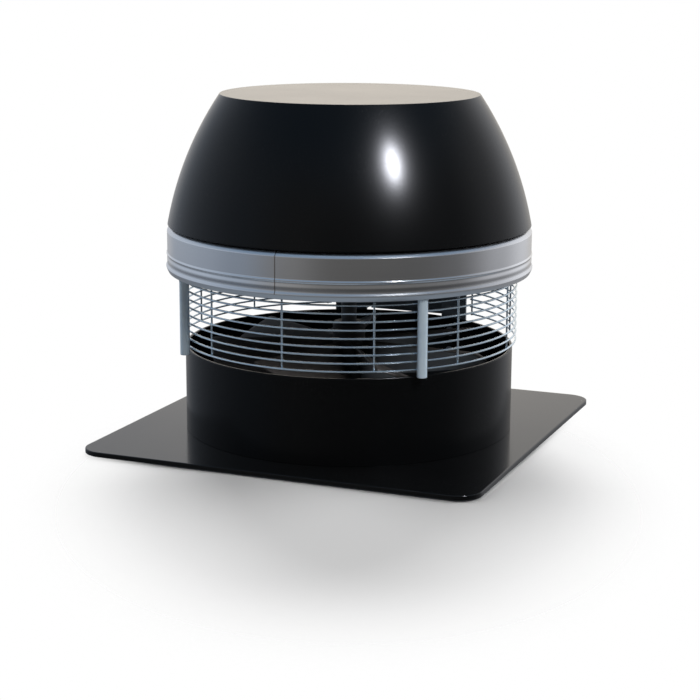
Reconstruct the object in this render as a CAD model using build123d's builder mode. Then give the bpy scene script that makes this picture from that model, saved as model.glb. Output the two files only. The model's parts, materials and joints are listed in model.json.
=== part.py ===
"""Chimney draught fan: a hinged motor head with an axial impeller over a short inlet cylinder.

Millimetres, +Z up. The origin is the centre of the base plate's underside. The plate's sides run
along X and Y, the hinge is at the back (+Y) and the band's seam at the front (-Y).
"""
import os
from math import asin, atan2, cos, degrees, hypot, radians, sin, sqrt

from build123d import *

# Base plate
plate_side = 420.0
plate_thickness = 5.0
plate_corner_radius = 27.0
inlet_bore_radius = 150.0

# Inlet cylinder
cylinder_radius = 171.5
cylinder_wall = 3.0
cylinder_height = 88.0
rim_chamfer = 0.8

# Head band
discharge_gap = 78.5
band_radius = 189.0
band_wall = 2.0
band_height = 46.5
band_edge_radius = 5.0
band_flange_width = 13.0
lip_height = 5.3
lip_rise = 1.3
lip_tuck = 2.2
lip_bulge = 0.3
lip_fade = 2.8
bead_level = 18.7
bead_half_height = 1.8
bead_rise = 0.8
rib_level = 13.0
rib_half_height = 1.5
rib_rise = 0.35
seam_gap = 0.4

# Cowl and its seal
seal_thickness = 1.4
seal_inset = 3.0
cowl_inset = 0.6
cowl_top_radius = 133.5
cowl_height = 133.2
cowl_arc_radius = 350.0
cowl_wall = 2.0
cowl_edge_radius = 0.8

# Motor deck
deck_thickness = 2.5
deck_rim_height = 16.5
deck_rim_wall = 2.0
deck_shaft_hole_radius = 14.0

# Wire guard and guard rods
wire_radius = 1.0
wire_sides = 6
ring_radius = 174.5
ring_count = 9
ring_pitch = 8.15
ring_start = 7.5
upright_spacing = 30.0
guard_opening_half_angle = 28.6
weld_depth = 0.5
rod_radius = 5.0
rod_angle = 45.0
rod_foot_gap = 0.5
rod_chamfer = 0.6

# Hinge
hinge_axis_height = 19.0
hinge_axis_setback = 6.0
leaf_half_width = 45.0
leaf_thickness = 3.0
leaf_standoff = 8.5
leaf_foot_lap = 1.0
leaf_screw_edge = 14.0
leaf_bend_radius = 3.0
leaf_screw_count = 3
leaf_screw_spacing = 28.0
leaf_screw_inset = 20.0
leaf_screw_radius = 3.0
leaf_screw_head_radius = 5.5
leaf_screw_head_height = 4.0
leaf_screw_tail = 3.0
knuckle_radius = 7.0
pin_radius = 4.0
pin_head_radius = 7.0
pin_head_thickness = 3.0
pin_clip_thickness = 2.0
pin_tail = 2.5
arm_thickness = 3.0
arm_outer_reach = 78.0
arm_foot_height = 45.0
arm_rise = 28.0
ear_foot_gap = 1.0
ear_overhang = 9.0
ear_corner_radius = 6.0
stop_bar_radius = 3.0
stop_bar_edge = 6.0
stop_bar_tail = 2.0
rivet_radius = 3.0
rivet_head_radius = 5.5
rivet_head_height = 2.4
rivet_head_taper = 20.0
rivet_first_level = 55.0
rivet_spacing = 23.0
rivet_sides = 12

# Impeller
blade_count = 7
blade_phase = 17.3
blade_tip_radius = 145.0
blade_sweep = 46.0
blade_drop = 40.0
blade_top_rise = 2.0
blade_thickness = 3.0
blade_root_reach = 8.5
hub_radius = 17.0
hub_rise = 21.5
hub_length = 60.5
hub_edge_radius = 2.5
washer_radius = 14.0
washer_thickness = 2.0
impeller_nut_radius = 11.0
impeller_nut_height = 10.0

# Shaft and motor
shaft_radius = 8.0
shaft_end_radius = 6.0
shaft_tail = 2.5
motor_flange_radius = 72.0
motor_flange_thickness = 10.0
motor_boss_radius = 26.0
motor_boss_height = 8.0
motor_bolt_circle = 62.0
motor_bolt_count = 4
motor_bolt_radius = 4.0
motor_bolt_head_radius = 7.4
motor_bolt_head_height = 5.6
motor_bolt_depth = 8.0
housing_length = 90.0
housing_radius = 62.0
housing_bore_radius = 56.0
fin_count = 18
fin_height = 7.0
fin_thickness = 3.0
end_cap_thickness = 12.0
end_cap_boss_height = 10.0
bearing_lower_radius = 17.5
bearing_lower_width = 11.0
bearing_upper_radius = 16.0
bearing_upper_width = 10.0
bearing_shoulder = 3.0
flange_shaft_gap = 1.0
end_cap_chamfer = 4.0
stator_length = 50.0
stator_offset = 18.0
stator_bore_radius = 34.0
air_gap = 0.6
winding_height = 9.0
winding_inner_radius = 37.0
winding_outer_radius = 53.0
slinger_radius = 24.0
slinger_thickness = 3.0
slinger_gap = 2.0
slinger_boss_height = 6.0
slinger_boss_radius = 15.0

# Pieces that stand on the deck
pillar_circle = 110.0
pillar_count = 3
pillar_start_angle = 30.0
pillar_radius = 8.0
stud_radius = 5.0
stud_tail = 2.5
pillar_nut_radius = 9.8
pillar_nut_height = 8.0
terminal_box_length = 70.0
terminal_box_width = 40.0
terminal_box_height = 34.0
terminal_box_corner = 4.0
terminal_box_wall = 2.5
terminal_lid_thickness = 4.0
terminal_lid_chamfer = 1.2
terminal_box_place = -108.0
capacitor_radius = 17.0
capacitor_height = 70.0
capacitor_circle = 106.0
capacitor_angle = -30.0
capacitor_chamfer = 2.5
gland_leaf_gap = 19.0
gland_edge_distance = 12.8
gland_hex_radius = 12.0
gland_hex_height = 6.0
gland_dome_radius = 10.0
gland_dome_height = 13.0
gland_dome_taper = 10.0
gland_thread_radius = 8.0
gland_thread_tail = 6.0
gland_bore_radius = 4.5

# Fits and clearances
seat_gap = 0.1
running_gap = 0.05
press_gap = 0.02
hole_gap = 0.2
side_gap = 0.5
stop_gap = 0.3
rod_gap = 0.3

# Levels
plate_top = plate_thickness
rim_level = plate_top + cylinder_height
deck_bottom = rim_level + discharge_gap
deck_top = deck_bottom + deck_thickness
band_top = deck_bottom + band_height
cowl_bottom = band_top + seal_thickness
cowl_top = cowl_bottom + cowl_height
hub_top = rim_level + hub_rise
hub_bottom = hub_top - hub_length
blade_level = rim_level + blade_top_rise - 0.5 * blade_drop
motor_base = deck_top
housing_bottom = motor_base + motor_flange_thickness
housing_top = housing_bottom + housing_length
stator_bottom = housing_bottom + stator_offset
stator_top = stator_bottom + stator_length

# Radii and places that follow
band_inner_radius = band_radius - band_wall
deck_radius = band_inner_radius - running_gap
cowl_bottom_radius = band_radius - cowl_inset
rod_circle = ring_radius + wire_radius + rod_gap + rod_radius
leaf_inner_y = cylinder_radius + leaf_standoff
leaf_outer_y = leaf_inner_y + leaf_thickness
hinge_y = leaf_outer_y + hinge_axis_setback
hinge_z = rim_level + hinge_axis_height
ear_inner_x = leaf_half_width + side_gap
ear_outer_x = ear_inner_x + arm_thickness
arm_inner_radius = cylinder_radius + seat_gap
arm_outer_radius = arm_inner_radius + arm_thickness
ear_foot = rim_level + ear_foot_gap
stop_bar_y = leaf_outer_y + stop_gap + stop_bar_radius
stop_bar_z = ear_foot + stop_bar_edge
gland_x = leaf_half_width + gland_leaf_gap
gland_place = (gland_x, sqrt((deck_radius - gland_edge_distance) ** 2 - gland_x**2))

os.makedirs("parts", exist_ok=True)


def write_part(builder, name):
    builder.part.label = name
    export_step(builder.part, f"parts/{name}.step")


def on_circle(radius, angle):
    return (radius * cos(radians(angle)), radius * sin(radians(angle)))


def tube(bottom, top, outer, inner):
    """Upright tube, or a disc where inner is zero, added to the part being built."""
    with BuildSketch(Plane.XY.offset(bottom)) as ring:
        Circle(outer)
        if inner > 0:
            Circle(inner, mode=Mode.SUBTRACT)
    extrude(ring.sketch, amount=top - bottom)


# Base plate: one square sheet with the flue's inlet bore
with BuildPart() as base_plate:
    with BuildSketch():
        RectangleRounded(plate_side, plate_side, plate_corner_radius)
        Circle(inlet_bore_radius, mode=Mode.SUBTRACT)
    extrude(amount=plate_thickness)
write_part(base_plate, "base_plate")

# Inlet cylinder: rolled sheet standing on the plate, drilled for the hinge arms' rivets
arm_angle = degrees(0.5 * (asin(ear_inner_x / arm_outer_radius) + asin(arm_outer_reach / arm_outer_radius)))
rivet_planes = []
for side in (-1, 1):
    direction = Vector(side * sin(radians(arm_angle)), cos(radians(arm_angle)), 0)
    for level in (rivet_first_level, rivet_first_level + rivet_spacing):
        rivet_planes.append(Plane(origin=Vector(0, 0, level), x_dir=(0, 0, 1), z_dir=direction))

with BuildPart() as inlet_cylinder:
    tube(plate_top, rim_level, cylinder_radius, cylinder_radius - cylinder_wall)
    chamfer(inlet_cylinder.edges().group_by(Axis.Z)[-1], rim_chamfer)
    for plane in rivet_planes:
        with BuildSketch(plane):
            Circle(rivet_radius + seat_gap)
        extrude(amount=arm_outer_radius, mode=Mode.SUBTRACT)
write_part(inlet_cylinder, "inlet_cylinder")

# Hinge arms: a pad rolled to the cylinder, folded into an ear that carries the pin
for side, name in ((-1, "hinge_arm_left"), (1, "hinge_arm_right")):
    with BuildPart() as hinge_arm:
        with BuildSketch(Plane.XY.offset(arm_foot_height)):
            Circle(arm_outer_radius)
            Circle(arm_inner_radius, mode=Mode.SUBTRACT)
            with Locations((side * 0.5 * (ear_inner_x + arm_outer_reach), 0.5 * arm_outer_radius)):
                Rectangle(arm_outer_reach - ear_inner_x, arm_outer_radius, mode=Mode.INTERSECT)
        extrude(amount=rim_level + arm_rise - arm_foot_height)
        ear_root = sqrt(arm_inner_radius**2 - ear_inner_x**2)
        ear_end = hinge_y + ear_overhang
        ear_top = hinge_z + ear_overhang
        with BuildSketch(Plane.YZ.offset(side * ear_inner_x)) as ear_outline:
            with Locations((0.5 * (ear_root + ear_end), 0.5 * (ear_foot + ear_top))):
                Rectangle(ear_end - ear_root, ear_top - ear_foot)
            fillet(ear_outline.vertices().group_by(Axis.X)[-1], ear_corner_radius)
            with Locations((hinge_y, hinge_z)):
                Circle(pin_radius + running_gap, mode=Mode.SUBTRACT)
            with Locations((stop_bar_y, stop_bar_z)):
                Circle(stop_bar_radius + running_gap, mode=Mode.SUBTRACT)
        extrude(amount=side * arm_thickness)
        for plane in rivet_planes:
            with BuildSketch(plane):
                Circle(rivet_radius + seat_gap)
            extrude(amount=arm_outer_radius + arm_thickness, mode=Mode.SUBTRACT)
    write_part(hinge_arm, name)

# Rivets of the hinge arms: domed head outside, flat tail inside the cylinder
with BuildPart() as hinge_rivets:
    inner_face = cylinder_radius - cylinder_wall
    for plane in rivet_planes:
        with BuildSketch(plane.offset(inner_face - rivet_head_height)):
            RegularPolygon(rivet_head_radius, rivet_sides)
        extrude(amount=rivet_head_height - seat_gap)
        with BuildSketch(plane.offset(inner_face - seat_gap)):
            RegularPolygon(rivet_radius, rivet_sides)
        extrude(amount=arm_outer_radius + 2 * seat_gap - inner_face)
        with BuildSketch(plane.offset(arm_outer_radius + seat_gap)):
            RegularPolygon(rivet_head_radius, rivet_sides)
        extrude(amount=rivet_head_height, taper=rivet_head_taper)
write_part(hinge_rivets, "hinge_rivets")

# Hinge pin with its head on the left ear, and the clip on the right ear
with BuildPart() as hinge_pin:
    with BuildSketch(Plane.YZ.offset(-ear_outer_x)):
        with Locations((hinge_y, hinge_z)):
            Circle(pin_radius)
    extrude(amount=2 * ear_outer_x + pin_clip_thickness + pin_tail)
    with BuildSketch(Plane.YZ.offset(-ear_outer_x)):
        with Locations((hinge_y, hinge_z)):
            Circle(pin_head_radius)
    extrude(amount=-pin_head_thickness)
write_part(hinge_pin, "hinge_pin")

with BuildPart() as pin_clip:
    with BuildSketch(Plane.YZ.offset(ear_outer_x)):
        with Locations((hinge_y, hinge_z)):
            Circle(pin_head_radius)
            Circle(pin_radius + press_gap, mode=Mode.SUBTRACT)
    extrude(amount=pin_clip_thickness)
write_part(pin_clip, "pin_clip")

# Stop bar: holds the leaf's foot, so that the head rests level
with BuildPart() as stop_bar:
    bar_end = ear_outer_x + stop_bar_tail
    with BuildSketch(Plane.YZ.offset(-bar_end)):
        with Locations((stop_bar_y, stop_bar_z)):
            Circle(stop_bar_radius)
    extrude(amount=2 * bar_end)
write_part(stop_bar, "stop_bar")

# Head band: rolled profile with a tucked-under lip, a rib, a bead, a rounded top edge and an inward flange,
# its two ends butted at the front seam
seam_angle = degrees(seam_gap / band_radius)
seam_edge = -90 + 0.5 * seam_angle
seam_plane = Plane(
    origin=(0, 0, 0),
    x_dir=(*on_circle(1, seam_edge), 0),
    z_dir=(*on_circle(1, seam_edge - 90), 0),
)
with BuildPart() as band:
    with BuildSketch(seam_plane):
        with BuildLine():
            lip_level = deck_bottom + lip_height
            lip_middle = deck_bottom + 0.5 * lip_height
            lip_crest = band_radius + lip_rise
            lip_foot = lip_crest - lip_tuck
            Line((band_inner_radius, deck_bottom), (lip_foot, deck_bottom))
            ThreePointArc(
                (lip_foot, deck_bottom),
                (0.5 * (lip_foot + lip_crest) + lip_bulge, lip_middle),
                (lip_crest, lip_level),
            )
            rise_from = lip_level + lip_fade
            Line((lip_crest, lip_level), (band_radius, rise_from))
            for level, half, rise in (
                (rib_level, rib_half_height, rib_rise),
                (bead_level, bead_half_height, bead_rise),
            ):
                middle = deck_bottom + level
                Line((band_radius, rise_from), (band_radius, middle - half))
                ThreePointArc(
                    (band_radius, middle - half),
                    (band_radius + rise, middle),
                    (band_radius, middle + half),
                )
                rise_from = middle + half
            edge_start = band_top - band_edge_radius
            edge_inset = band_radius - band_edge_radius
            Line((band_radius, rise_from), (band_radius, edge_start))
            CenterArc((edge_inset, edge_start), band_edge_radius, 0, 90)
            flange_inner = band_radius - band_flange_width
            Line((edge_inset, band_top), (flange_inner, band_top))
            Line((flange_inner, band_top), (flange_inner, band_top - band_wall))
            Line((flange_inner, band_top - band_wall), (edge_inset, band_top - band_wall))
            CenterArc((edge_inset, edge_start), band_edge_radius - band_wall, 0, 90)
            Line((band_inner_radius, edge_start), (band_inner_radius, deck_bottom))
        make_face()
    revolve(axis=Axis.Z, revolution_arc=360 - seam_angle)
write_part(band, "band")

# Cowl seal: flat ring between the band's flange and the cowl's flange
with BuildPart() as cowl_seal:
    tube(band_top, cowl_bottom, edge_inset - 0.5 * seal_inset, flange_inner + seal_inset)
write_part(cowl_seal, "cowl_seal")

# Cowl: spun shell, an arc in section, with a flat top and an inward foot flange
foot_point = Vector(cowl_bottom_radius, cowl_bottom)
top_point = Vector(cowl_top_radius, cowl_top)
chord = top_point - foot_point
sagitta_depth = sqrt(cowl_arc_radius**2 - 0.25 * chord.length**2)
inward = Vector(-chord.Y, chord.X).normalized()
arc_centre = (foot_point + top_point) * 0.5 + inward * sagitta_depth


def cowl_radius_at(level, inset):
    """Radius of the cowl's wall at a level, inset from its outer face."""
    return arc_centre.X + sqrt((cowl_arc_radius - inset) ** 2 - (level - arc_centre.Y) ** 2)


with BuildPart() as cowl:
    with BuildSketch(Plane.XZ):
        with BuildLine():
            middle_level = 0.5 * (cowl_bottom + cowl_top)
            inner_top = cowl_top - cowl_wall
            inner_foot = cowl_bottom + cowl_wall
            foot_inner = flange_inner + seal_inset
            Line((foot_inner, cowl_bottom), (cowl_bottom_radius, cowl_bottom))
            ThreePointArc(
                (cowl_bottom_radius, cowl_bottom),
                (cowl_radius_at(middle_level, 0), middle_level),
                (cowl_top_radius, cowl_top),
            )
            Line((cowl_top_radius, cowl_top), (0, cowl_top))
            Line((0, cowl_top), (0, inner_top))
            Line((0, inner_top), (cowl_radius_at(inner_top, cowl_wall), inner_top))
            ThreePointArc(
                (cowl_radius_at(inner_top, cowl_wall), inner_top),
                (cowl_radius_at(middle_level, cowl_wall), middle_level),
                (cowl_radius_at(inner_foot, cowl_wall), inner_foot),
            )
            Line((cowl_radius_at(inner_foot, cowl_wall), inner_foot), (foot_inner, inner_foot))
            Line((foot_inner, inner_foot), (foot_inner, cowl_bottom))
        make_face()
    revolve(axis=Axis.Z)
    fillet(cowl.edges().filter_by(GeomType.CIRCLE).group_by(Axis.Z)[-1], cowl_edge_radius)
write_part(cowl, "cowl")

# Motor deck: pressed pan inside the band, with holes for what passes through it
leaf_screw_y = min(leaf_outer_y, deck_radius) - leaf_screw_inset
pillar_angles = [pillar_start_angle + 360 / pillar_count * i for i in range(pillar_count)]
with BuildPart() as motor_deck:
    tube(deck_bottom, deck_top, deck_radius, deck_shaft_hole_radius)
    tube(deck_top, deck_bottom + deck_rim_height, deck_radius, deck_radius - deck_rim_wall)
    with BuildSketch(Plane.XY.offset(deck_bottom)):
        with PolarLocations(motor_bolt_circle, motor_bolt_count, start_angle=180 / motor_bolt_count):
            Circle(motor_bolt_radius + hole_gap)
        with PolarLocations(pillar_circle, pillar_count, start_angle=pillar_start_angle):
            Circle(stud_radius + hole_gap)
        with Locations((0, leaf_screw_y)):
            with GridLocations(leaf_screw_spacing, 1, leaf_screw_count, 1):
                Circle(leaf_screw_radius + hole_gap)
        with Locations(gland_place):
            Circle(gland_thread_radius + hole_gap)
    extrude(amount=deck_thickness, mode=Mode.SUBTRACT)
write_part(motor_deck, "motor_deck")

# Hinge leaf: bent plate screwed under the deck, with the knuckle on its outer face
leaf_foot = rim_level - leaf_foot_lap
leaf_flange_inner = leaf_screw_y - leaf_screw_edge
with BuildPart() as hinge_leaf:
    with BuildSketch(Plane.YZ.offset(-leaf_half_width)):
        with BuildLine():
            flange_bottom = deck_bottom - leaf_thickness
            outer_bend = leaf_bend_radius + leaf_thickness
            bend_y = leaf_outer_y - outer_bend
            bend_z = deck_bottom - outer_bend
            Line((leaf_inner_y, leaf_foot), (leaf_outer_y, leaf_foot))
            Line((leaf_outer_y, leaf_foot), (leaf_outer_y, bend_z))
            CenterArc((bend_y, bend_z), outer_bend, 0, 90)
            Line((bend_y, deck_bottom), (leaf_flange_inner, deck_bottom))
            Line((leaf_flange_inner, deck_bottom), (leaf_flange_inner, flange_bottom))
            Line((leaf_flange_inner, flange_bottom), (bend_y, flange_bottom))
            CenterArc((bend_y, bend_z), leaf_bend_radius, 0, 90)
            Line((leaf_inner_y, bend_z), (leaf_inner_y, leaf_foot))
        make_face()
        with Locations((0.5 * (leaf_inner_y + hinge_y), hinge_z)):
            Rectangle(hinge_y - leaf_inner_y, 2 * knuckle_radius)
        with Locations((hinge_y, hinge_z)):
            Circle(knuckle_radius)
            Circle(pin_radius + running_gap, mode=Mode.SUBTRACT)
    extrude(amount=2 * leaf_half_width)
    with BuildSketch(Plane.XY.offset(deck_bottom)):
        with Locations((0, leaf_screw_y)):
            with GridLocations(leaf_screw_spacing, 1, leaf_screw_count, 1):
                Circle(leaf_screw_radius + hole_gap)
    extrude(amount=-leaf_thickness, mode=Mode.SUBTRACT)
write_part(hinge_leaf, "hinge_leaf")

with BuildPart() as hinge_leaf_screws:
    with BuildSketch(Plane.XY.offset(deck_bottom - leaf_thickness)):
        with Locations((0, leaf_screw_y)):
            with GridLocations(leaf_screw_spacing, 1, leaf_screw_count, 1):
                RegularPolygon(leaf_screw_head_radius, 6)
    extrude(amount=-leaf_screw_head_height)
    with BuildSketch(Plane.XY.offset(deck_bottom - leaf_thickness)):
        with Locations((0, leaf_screw_y)):
            with GridLocations(leaf_screw_spacing, 1, leaf_screw_count, 1):
                Circle(leaf_screw_radius)
    extrude(amount=leaf_thickness + deck_thickness + leaf_screw_tail)
write_part(hinge_leaf_screws, "hinge_leaf_screws")

# Guard rods: bright bars under the deck, free at the foot
rod_foot = rim_level + rod_foot_gap
for angle, name in ((-90 - rod_angle, "guard_rod_left"), (-90 + rod_angle, "guard_rod_right")):
    with BuildPart() as guard_rod:
        with BuildSketch(Plane.XY.offset(rod_foot)):
            with Locations(on_circle(rod_circle, angle)):
                Circle(rod_radius)
        extrude(amount=deck_bottom - rod_foot)
        chamfer(guard_rod.edges().group_by(Axis.Z)[0], rod_chamfer)
    write_part(guard_rod, name)

# Wire guard: C-shaped ring wires welded to upright wires, open at the hinge
upright_circle = ring_radius - 2 * wire_radius + weld_depth
ring_levels = [rim_level + ring_start + ring_pitch * i for i in range(ring_count)]
guard_sweep = 360 - 2 * guard_opening_half_angle
half_uprights = int((180 - guard_opening_half_angle) / upright_spacing)
with BuildPart() as wire_guard:
    for level in ring_levels:
        start_angle = 90 + guard_opening_half_angle
        section = Plane(
            origin=(*on_circle(ring_radius, start_angle), level),
            x_dir=(*on_circle(1, start_angle), 0),
            z_dir=(*on_circle(1, start_angle + 90), 0),
        )
        with BuildSketch(section):
            RegularPolygon(wire_radius, wire_sides)
        revolve(axis=Axis.Z, revolution_arc=guard_sweep)
    with BuildSketch(Plane.XY.offset(ring_levels[0] - wire_radius)):
        for i in range(-half_uprights, half_uprights + 1):
            angle = -90 + i * upright_spacing
            with Locations(Location((*on_circle(upright_circle, angle), 0), (0, 0, angle))):
                RegularPolygon(wire_radius, wire_sides)
    extrude(amount=deck_bottom - ring_levels[0] + wire_radius)
write_part(wire_guard, "wire_guard")

# Cowl pillars with studs through the deck, and their nuts below it
with BuildPart() as cowl_pillars:
    stud_foot = deck_bottom - pillar_nut_height - stud_tail
    for angle in pillar_angles:
        with BuildSketch(Plane.XY.offset(stud_foot)):
            with Locations(on_circle(pillar_circle, angle)):
                Circle(stud_radius)
        extrude(amount=deck_top - stud_foot)
        with BuildSketch(Plane.XY.offset(deck_top)):
            with Locations(on_circle(pillar_circle, angle)):
                Circle(pillar_radius)
        extrude(amount=inner_top - deck_top)
write_part(cowl_pillars, "cowl_pillars")

with BuildPart() as cowl_nuts:
    with BuildSketch(Plane.XY.offset(deck_bottom)):
        for angle in pillar_angles:
            with Locations(on_circle(pillar_circle, angle)):
                RegularPolygon(pillar_nut_radius, 6)
                Circle(stud_radius + press_gap, mode=Mode.SUBTRACT)
    extrude(amount=-pillar_nut_height)
write_part(cowl_nuts, "cowl_nuts")

# Motor flange: lower end shield with the seat of the lower bearing
bearing_lower_bottom = motor_base + bearing_shoulder
with BuildPart() as motor_flange:
    tube(motor_base, housing_bottom, motor_flange_radius, 0)
    tube(housing_bottom, housing_bottom + motor_boss_height, motor_boss_radius, 0)
    with BuildSketch(Plane.XY.offset(bearing_lower_bottom)):
        Circle(bearing_lower_radius + press_gap)
    extrude(amount=motor_flange_thickness + motor_boss_height, mode=Mode.SUBTRACT)
    with BuildSketch(Plane.XY.offset(motor_base)):
        Circle(shaft_radius + flange_shaft_gap)
        with PolarLocations(motor_bolt_circle, motor_bolt_count, start_angle=180 / motor_bolt_count):
            Circle(motor_bolt_radius + press_gap)
    extrude(amount=motor_flange_thickness, mode=Mode.SUBTRACT)
write_part(motor_flange, "motor_flange")

with BuildPart() as motor_bolts:
    with BuildSketch(Plane.XY.offset(deck_bottom)):
        with PolarLocations(motor_bolt_circle, motor_bolt_count, start_angle=180 / motor_bolt_count):
            RegularPolygon(motor_bolt_head_radius, 6)
    extrude(amount=-motor_bolt_head_height)
    with BuildSketch(Plane.XY.offset(deck_bottom)):
        with PolarLocations(motor_bolt_circle, motor_bolt_count, start_angle=180 / motor_bolt_count):
            Circle(motor_bolt_radius)
    extrude(amount=deck_thickness + motor_bolt_depth)
write_part(motor_bolts, "motor_bolts")

# Motor housing: bored tube with upright cooling fins
with BuildPart() as motor_housing:
    with BuildSketch(Plane.XY.offset(housing_bottom)):
        Circle(housing_radius)
        with PolarLocations(housing_radius + 0.5 * fin_height, fin_count):
            Rectangle(fin_height + 2 * fin_thickness, fin_thickness)
        Circle(housing_bore_radius, mode=Mode.SUBTRACT)
    extrude(amount=housing_length)
write_part(motor_housing, "motor_housing")

# Motor end cap: upper end shield with the seat of the upper bearing
bearing_upper_bottom = housing_top - end_cap_boss_height
with BuildPart() as motor_end_cap:
    tube(housing_top, housing_top + end_cap_thickness, housing_radius + 0.5 * fin_height, 0)
    tube(bearing_upper_bottom, housing_top, motor_boss_radius, 0)
    with BuildSketch(Plane.XY.offset(bearing_upper_bottom)):
        Circle(bearing_upper_radius + press_gap)
    extrude(amount=bearing_upper_width + bearing_shoulder, mode=Mode.SUBTRACT)
    chamfer(motor_end_cap.edges().group_by(Axis.Z)[-1], end_cap_chamfer)
write_part(motor_end_cap, "motor_end_cap")

# Bearings: rings in the two end shields
with BuildPart() as bearing_lower:
    tube(
        bearing_lower_bottom,
        bearing_lower_bottom + bearing_lower_width,
        bearing_lower_radius,
        shaft_radius + running_gap,
    )
write_part(bearing_lower, "bearing_lower")

with BuildPart() as bearing_upper:
    tube(
        bearing_upper_bottom,
        bearing_upper_bottom + bearing_upper_width,
        bearing_upper_radius,
        shaft_end_radius + running_gap,
    )
write_part(bearing_upper, "bearing_upper")

# Stator core and its two winding heads
with BuildPart() as stator_core:
    tube(stator_bottom, stator_top, housing_bore_radius - press_gap, stator_bore_radius)
write_part(stator_core, "stator_core")

with BuildPart() as stator_winding:
    for start, step in ((stator_top, winding_height), (stator_bottom, -winding_height)):
        with BuildSketch(Plane.XY.offset(start)):
            Circle(winding_outer_radius)
            Circle(winding_inner_radius, mode=Mode.SUBTRACT)
        extrude(amount=step)
write_part(stator_winding, "stator_winding")

# Shaft: stepped bar through the motor, with the impeller's seat and thread at its foot
nut_bottom = hub_bottom - washer_thickness - impeller_nut_height
shaft_step = stator_top + winding_height
with BuildPart() as shaft:
    tube(nut_bottom - shaft_tail, hub_bottom, shaft_end_radius, 0)
    tube(hub_bottom, shaft_step, shaft_radius, 0)
    tube(shaft_step, bearing_upper_bottom + bearing_upper_width, shaft_end_radius, 0)
write_part(shaft, "shaft")

with BuildPart() as rotor_core:
    tube(stator_bottom, stator_top, stator_bore_radius - air_gap, shaft_radius + press_gap)
write_part(rotor_core, "rotor_core")

# Shaft slinger: throws water and soot off below the deck
with BuildPart() as shaft_slinger:
    slinger_top = deck_bottom - slinger_gap
    tube(slinger_top - slinger_thickness, slinger_top, slinger_radius, shaft_radius + press_gap)
    tube(
        slinger_top - slinger_thickness - slinger_boss_height,
        slinger_top - slinger_thickness,
        slinger_boss_radius,
        shaft_radius + press_gap,
    )
write_part(shaft_slinger, "shaft_slinger")

# Impeller: one casting, a boss with helical blades whose leading edges are the lower ones
with BuildPart() as impeller:
    tube(hub_bottom, hub_top, hub_radius, 0)
    fillet(impeller.edges().group_by(Axis.Z)[-1], hub_edge_radius)
    for i in range(blade_count):
        angle = blade_phase + 360 / blade_count * i
        for reach in (blade_root_reach, blade_tip_radius):
            run = radians(blade_sweep) * reach
            pitch = atan2(blade_drop, run)
            station = Plane(
                origin=(*on_circle(reach, angle), blade_level),
                x_dir=(*on_circle(cos(pitch), angle + 90), -sin(pitch)),
                z_dir=(*on_circle(1, angle), 0),
            )
            with BuildSketch(station):
                Rectangle(hypot(run, blade_drop), blade_thickness)
        loft(ruled=True)
    with BuildSketch(Plane.XY):
        Circle(blade_tip_radius)
    extrude(amount=deck_bottom, mode=Mode.INTERSECT)
    with BuildSketch(Plane.XY.offset(hub_bottom)):
        Circle(shaft_radius + press_gap)
    extrude(amount=hub_length, mode=Mode.SUBTRACT)
write_part(impeller, "impeller")

with BuildPart() as impeller_washer:
    tube(hub_bottom - washer_thickness, hub_bottom, washer_radius, shaft_end_radius + press_gap)
write_part(impeller_washer, "impeller_washer")

with BuildPart() as impeller_nut:
    with BuildSketch(Plane.XY.offset(hub_bottom - washer_thickness)):
        RegularPolygon(impeller_nut_radius, 6)
        Circle(shaft_end_radius + press_gap, mode=Mode.SUBTRACT)
    extrude(amount=-impeller_nut_height)
write_part(impeller_nut, "impeller_nut")

# Electrical pieces on the deck
with BuildPart() as terminal_box:
    with BuildSketch(Plane.XY.offset(deck_top)):
        with Locations((terminal_box_place, 0)):
            RectangleRounded(terminal_box_width, terminal_box_length, terminal_box_corner)
    extrude(amount=terminal_box_height)
    with BuildSketch(Plane.XY.offset(deck_top + terminal_box_height)):
        with Locations((terminal_box_place, 0)):
            Rectangle(
                terminal_box_width - 2 * terminal_box_wall,
                terminal_box_length - 2 * terminal_box_wall,
            )
    extrude(amount=terminal_box_wall - terminal_box_height, mode=Mode.SUBTRACT)
write_part(terminal_box, "terminal_box")

with BuildPart() as terminal_lid:
    with BuildSketch(Plane.XY.offset(deck_top + terminal_box_height)):
        with Locations((terminal_box_place, 0)):
            RectangleRounded(terminal_box_width, terminal_box_length, terminal_box_corner)
    extrude(amount=terminal_lid_thickness)
    chamfer(terminal_lid.edges().group_by(Axis.Z)[-1], terminal_lid_chamfer)
write_part(terminal_lid, "terminal_lid")

with BuildPart() as capacitor:
    with BuildSketch(Plane.XY.offset(deck_top)):
        with Locations(on_circle(capacitor_circle, capacitor_angle)):
            Circle(capacitor_radius)
    extrude(amount=capacitor_height)
    chamfer(capacitor.edges().group_by(Axis.Z)[-1], capacitor_chamfer)
write_part(capacitor, "capacitor")

with BuildPart() as cable_gland:
    with BuildSketch(Plane.XY.offset(deck_bottom)):
        with Locations(gland_place):
            RegularPolygon(gland_hex_radius, 6)
    extrude(amount=-gland_hex_height)
    with BuildSketch(Plane.XY.offset(deck_bottom - gland_hex_height)):
        with Locations(gland_place):
            Circle(gland_dome_radius)
    extrude(amount=-gland_dome_height, taper=gland_dome_taper)
    with BuildSketch(Plane.XY.offset(deck_bottom)):
        with Locations(gland_place):
            Circle(gland_thread_radius)
    extrude(amount=deck_thickness + gland_thread_tail)
    with BuildSketch(Plane.XY.offset(deck_top + gland_thread_tail)):
        with Locations(gland_place):
            Circle(gland_bore_radius)
    extrude(amount=-deck_bottom, mode=Mode.SUBTRACT)
write_part(cable_gland, "cable_gland")
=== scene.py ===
import json
import math

import bmesh
import bpy
import numpy as np
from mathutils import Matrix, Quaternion, Vector


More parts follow.
